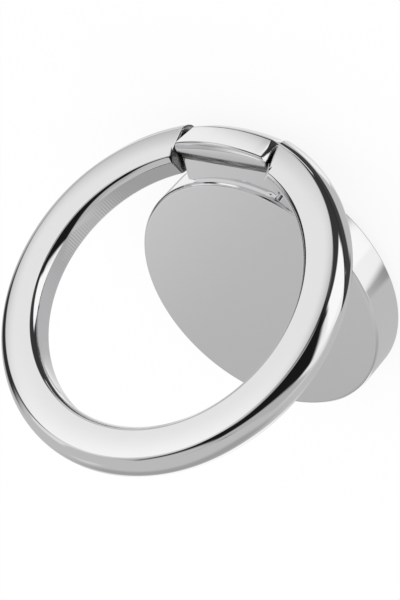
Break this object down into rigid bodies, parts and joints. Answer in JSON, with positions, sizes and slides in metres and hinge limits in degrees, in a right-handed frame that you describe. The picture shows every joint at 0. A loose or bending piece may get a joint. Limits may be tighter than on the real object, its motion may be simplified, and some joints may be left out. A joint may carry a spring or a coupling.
{
  "type": "phone ring holder",
  "caption": "Folding finger ring hinged on a round disc that swivels on an adhesive base; sticks to the back of a phone as a grip and a stand.",
  "frame": {"origin": "centre of the adhesive face that sticks to the phone, on the swivel axis", "axes": "+Z away from the phone along the swivel axis, +Y towards the hinge, +X along the hinge pin"},
  "size_m": [0.039, 0.0339, 0.0355],
  "materials": {
    "plated_zinc": "mirror chrome plate on cast zinc alloy",
    "pin_steel": "ground steel",
    "spring_steel": "rolled spring steel",
    "plate_steel": "stamped steel",
    "slip_plastic": "smooth natural plastic",
    "foam_tape": "matt acrylic foam tape"
  },
  "bodies": {
    "base": {"adhesive_pad": "foam_tape", "base_plate": "plate_steel", "slip_washer": "slip_plastic"},
    "disc": {"disc_body": "plated_zinc", "swivel_rivet": "pin_steel", "wave_washer": "spring_steel", "friction_sleeve": "spring_steel"},
    "ring": {"finger_ring": "plated_zinc", "hinge_pin": "pin_steel"}
  },
  "joints": [
    {"name": "disc_swivel", "type": "hinge", "parent": "base", "child": "disc", "pos_m": [0, 0, 0], "axis": [0, 0, 1], "continuous": true},
    {"name": "ring_fold", "type": "hinge", "parent": "disc", "child": "ring", "pos_m": [0, 0.01635, 0.00295], "axis": [-1, 0, 0], "range_deg": [-63.45, 116.55]}
  ]
}
